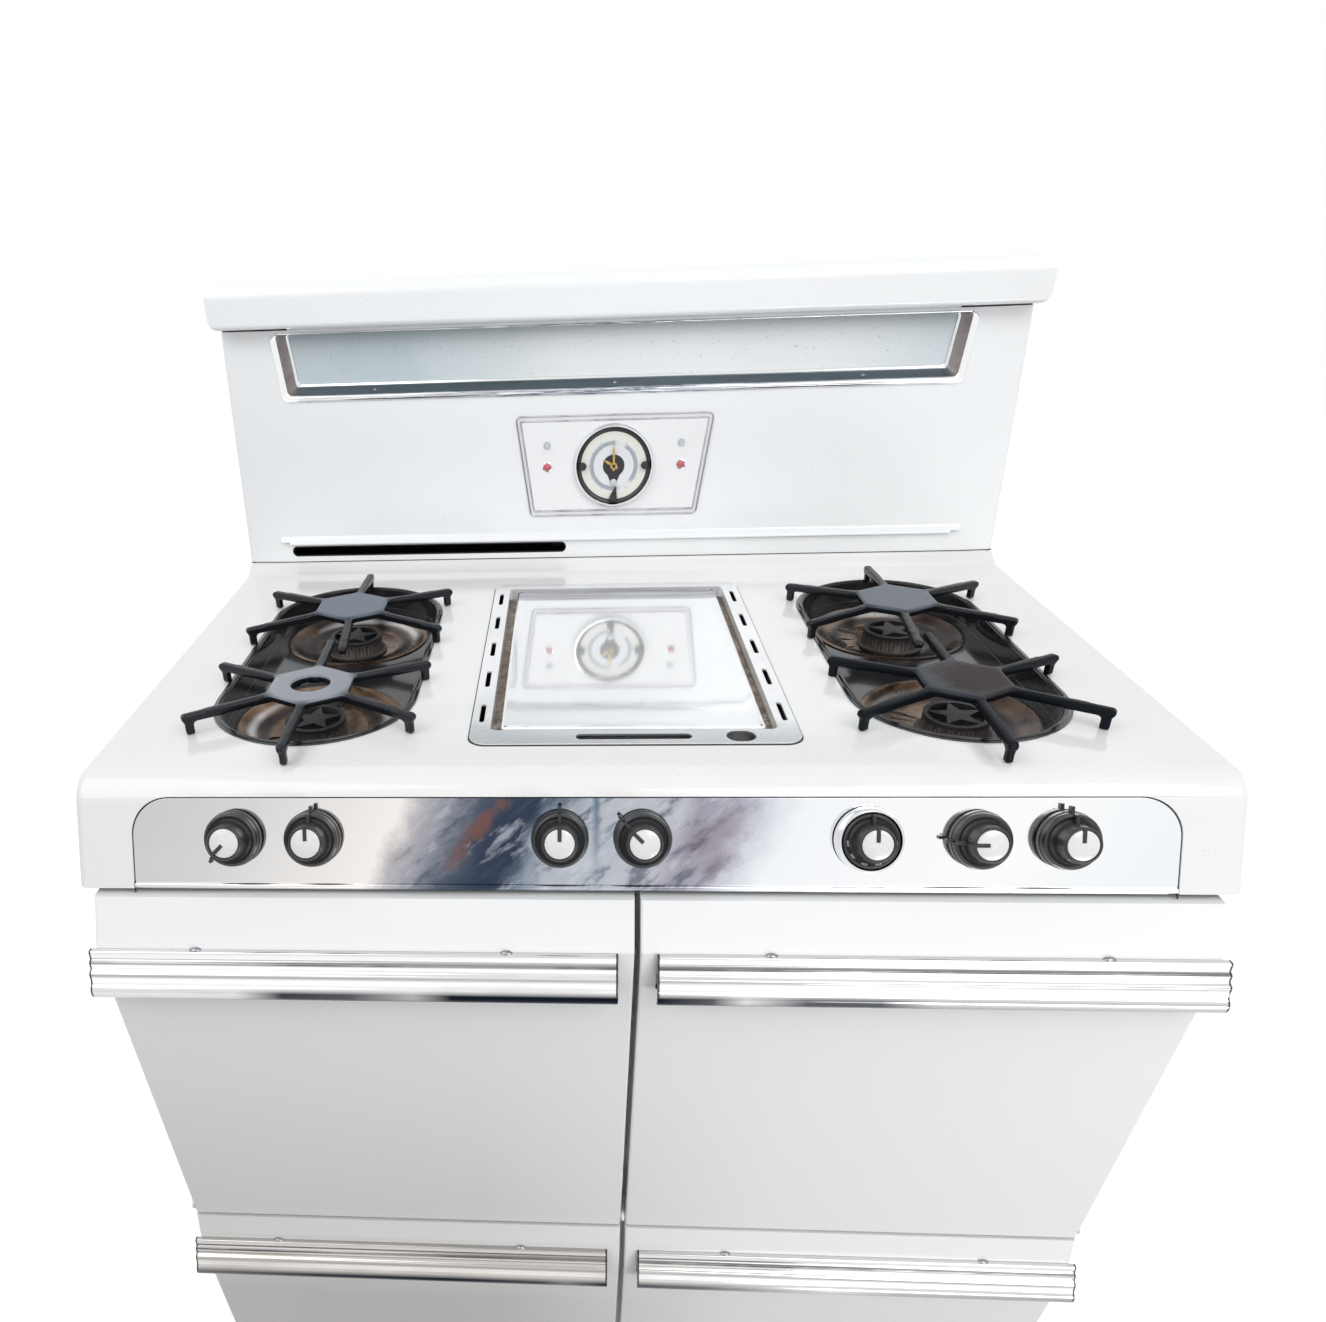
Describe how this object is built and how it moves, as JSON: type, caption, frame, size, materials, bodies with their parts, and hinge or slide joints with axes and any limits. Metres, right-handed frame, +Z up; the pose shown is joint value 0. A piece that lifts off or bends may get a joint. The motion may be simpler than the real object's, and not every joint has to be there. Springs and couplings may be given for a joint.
{
  "type": "range cooker",
  "caption": "Free-standing white enamelled gas range with cast iron grates, a middle griddle, a lamp and clock backguard, drop-down oven and broiler doors and pull-out drawers.",
  "frame": {"origin": "on the floor under the middle of the range's bounding box", "axes": "+X to the right seen from the front, +Y from the front to the back, +Z up"},
  "size_m": [1.016, 0.755, 1.273],
  "materials": {
    "white_enamel": "gloss",
    "zinc_sheet": "satin",
    "black_enamel": "gloss",
    "oven_enamel": "gloss",
    "chrome": "polished",
    "polished_plate": "polished",
    "cast_iron": "satin",
    "steel": "satin",
    "brass": "satin",
    "lamp_glass": "gloss",
    "tube_glass": "gloss",
    "dial_paint": "satin",
    "black_plastic": "gloss",
    "motor_case": "matte",
    "red_jewel": "gloss",
    "button_plastic": "gloss"
  },
  "bodies": {
    "chassis": {"base_frame": "black_enamel", "levelling_feet": "steel", "side_panels": "white_enamel", "back_panel": "zinc_sheet", "centre_partition": "zinc_sheet", "front_frame": "white_enamel", "cooktop": "white_enamel", "drip_pans": "black_enamel", "burner_bowls": "chrome", "burner_heads": "cast_iron", "griddle_frame": "chrome", "tube_burners": "cast_iron", "control_panel": "chrome", "gas_manifold": "steel", "gas_valves": "brass", "backguard_shell": "white_enamel", "top_shelf": "white_enamel", "lamp_trim": "chrome", "lamp_glass": "lamp_glass", "lamp_tube": "tube_glass", "clock_plate": "white_enamel", "clock_trim": "chrome", "clock_dial": "dial_paint", "clock_motor": "motor_case", "pilot_jewels": "red_jewel", "oven_flue": "black_enamel", "oven_liner": "oven_enamel", "broiler_liner": "oven_enamel", "drawer_runners": "zinc_sheet"},
    "door_left": {"door_left_skin": "white_enamel", "door_left_inner": "zinc_sheet", "handle_upper_left": "chrome"},
    "door_right": {"door_right_skin": "white_enamel", "door_right_inner": "zinc_sheet", "handle_upper_right": "chrome"},
    "drawer_left": {"drawer_left": "white_enamel", "handle_lower_left": "chrome"},
    "drawer_right": {"drawer_right": "white_enamel", "handle_lower_right": "chrome"},
    "oven_rack": {"oven_rack": "chrome"},
    "broiler_pan": {"broiler_pan": "black_enamel"},
    "grate_rear_left": {"grate_rear_left": "cast_iron"},
    "grate_front_left": {"grate_front_left": "cast_iron"},
    "grate_rear_right": {"grate_rear_right": "cast_iron"},
    "grate_front_right": {"grate_front_right": "cast_iron"},
    "griddle_plate": {"griddle_plate": "polished_plate"},
    "hour_hand": {"hour_hand": "brass"},
    "minute_hand": {"minute_hand": "brass"},
    "clock_knob_start": {"clock_knob_start": "black_plastic"},
    "clock_knob_stop": {"clock_knob_stop": "black_plastic"},
    "clock_knob_timer": {"clock_knob_timer": "black_plastic"},
    "switch_button_left": {"switch_button_left": "button_plastic"},
    "switch_button_right": {"switch_button_right": "button_plastic"},
    "knob_1": {"knob_1": "black_plastic"},
    "knob_2": {"knob_2": "black_plastic"},
    "knob_3": {"knob_3": "black_plastic"},
    "knob_4": {"knob_4": "black_plastic"},
    "knob_thermostat": {"knob_thermostat": "black_plastic"},
    "knob_6": {"knob_6": "black_plastic"},
    "knob_7": {"knob_7": "black_plastic"}
  },
  "joints": [
    {"name": "door_left_hinge", "type": "hinge", "parent": "chassis", "child": "door_left", "pos_m": [0, -0.306, 0.359], "axis": [1, 0, 0], "range_deg": [0, 90]},
    {"name": "door_right_hinge", "type": "hinge", "parent": "chassis", "child": "door_right", "pos_m": [0, -0.306, 0.359], "axis": [1, 0, 0], "range_deg": [0, 90]},
    {"name": "drawer_left_slide", "type": "slide", "parent": "chassis", "child": "drawer_left", "axis": [0, 1, 0], "range_m": [-0.4, 0]},
    {"name": "drawer_right_slide", "type": "slide", "parent": "chassis", "child": "drawer_right", "axis": [0, 1, 0], "range_m": [-0.4, 0]},
    {"name": "oven_rack_slide", "type": "slide", "parent": "chassis", "child": "oven_rack", "axis": [0, -1, 0], "range_m": [0, 0.19]},
    {"name": "broiler_pan_slide", "type": "slide", "parent": "chassis", "child": "broiler_pan", "axis": [0, -1, 0], "range_m": [0, 0.3]},
    {"name": "grate_rear_left_lift", "type": "slide", "parent": "chassis", "child": "grate_rear_left", "axis": [0, 0, 1], "range_m": [0, 0.15]},
    {"name": "grate_front_left_lift", "type": "slide", "parent": "chassis", "child": "grate_front_left", "axis": [0, 0, 1], "range_m": [0, 0.15]},
    {"name": "grate_rear_right_lift", "type": "slide", "parent": "chassis", "child": "grate_rear_right", "axis": [0, 0, 1], "range_m": [0, 0.15]},
    {"name": "grate_front_right_lift", "type": "slide", "parent": "chassis", "child": "grate_front_right", "axis": [0, 0, 1], "range_m": [0, 0.15]},
    {"name": "griddle_plate_lift", "type": "slide", "parent": "chassis", "child": "griddle_plate", "axis": [0, 0, 1], "range_m": [0, 0.15]},
    {"name": "knob_1_turn", "type": "hinge", "parent": "chassis", "child": "knob_1", "pos_m": [-0.357, -0.31319, 0.86526], "axis": [0, -0.9205, 0.3907], "range_deg": [-135, 45]},
    {"name": "knob_2_turn", "type": "hinge", "parent": "chassis", "child": "knob_2", "pos_m": [-0.2855, -0.31319, 0.86526], "axis": [0, -0.9205, 0.3907], "range_deg": [0, 180]},
    {"name": "knob_3_turn", "type": "hinge", "parent": "chassis", "child": "knob_3", "pos_m": [-0.06775, -0.31319, 0.86526], "axis": [0, -0.9205, 0.3907], "range_deg": [0, 180]},
    {"name": "knob_4_turn", "type": "hinge", "parent": "chassis", "child": "knob_4", "pos_m": [0.00375, -0.31319, 0.86526], "axis": [0, -0.9205, 0.3907], "range_deg": [-45, 135]},
    {"name": "knob_thermostat_turn", "type": "hinge", "parent": "chassis", "child": "knob_thermostat", "pos_m": [0.194, -0.31319, 0.86526], "axis": [0, -0.9205, 0.3907], "range_deg": [0, 300]},
    {"name": "knob_6_turn", "type": "hinge", "parent": "chassis", "child": "knob_6", "pos_m": [0.2855, -0.31319, 0.86526], "axis": [0, -0.9205, 0.3907], "range_deg": [-90, 90]},
    {"name": "knob_7_turn", "type": "hinge", "parent": "chassis", "child": "knob_7", "pos_m": [0.357, -0.31319, 0.86526], "axis": [0, -0.9205, 0.3907], "range_deg": [0, 180]},
    {"name": "minute_hand_turn", "type": "hinge", "parent": "chassis", "child": "minute_hand", "pos_m": [0, 0.31296, 1.044], "axis": [0, 0.9969, -0.0786], "continuous": true},
    {"name": "hour_hand_turn", "type": "hinge", "parent": "chassis", "child": "hour_hand", "pos_m": [0, 0.31296, 1.044], "axis": [0, 0.9969, -0.0786], "continuous": true},
    {"name": "clock_knob_start_turn", "type": "hinge", "parent": "chassis", "child": "clock_knob_start", "pos_m": [-0.0405, 0.31296, 1.044], "axis": [0, 0.9969, -0.0786], "continuous": true},
    {"name": "clock_knob_stop_turn", "type": "hinge", "parent": "chassis", "child": "clock_knob_stop", "pos_m": [0.0405, 0.31296, 1.044], "axis": [0, 0.9969, -0.0786], "continuous": true},
    {"name": "clock_knob_timer_turn", "type": "hinge", "parent": "chassis", "child": "clock_knob_timer", "pos_m": [0, 0.30978, 1.00363], "axis": [0, 0.9969, -0.0786], "continuous": true},
    {"name": "switch_button_left_press", "type": "slide", "parent": "chassis", "child": "switch_button_left", "axis": [0, 0.9969, -0.0786], "range_m": [0, 0.003], "stiffness_N_per_m": 300, "springref_m": -0.002},
    {"name": "switch_button_right_press", "type": "slide", "parent": "chassis", "child": "switch_button_right", "axis": [0, 0.9969, -0.0786], "range_m": [0, 0.003], "stiffness_N_per_m": 300, "springref_m": -0.002}
  ],
  "couplings": [
    {"joint": "oven_rack_slide", "follows": "door_right_hinge", "m_per_rad": 0.12},
    {"joint": "broiler_pan_slide", "follows": "door_left_hinge", "m_per_rad": 0.19},
    {"joint": "hour_hand_turn", "follows": "minute_hand_turn", "ratio": 0.083333}
  ]
}
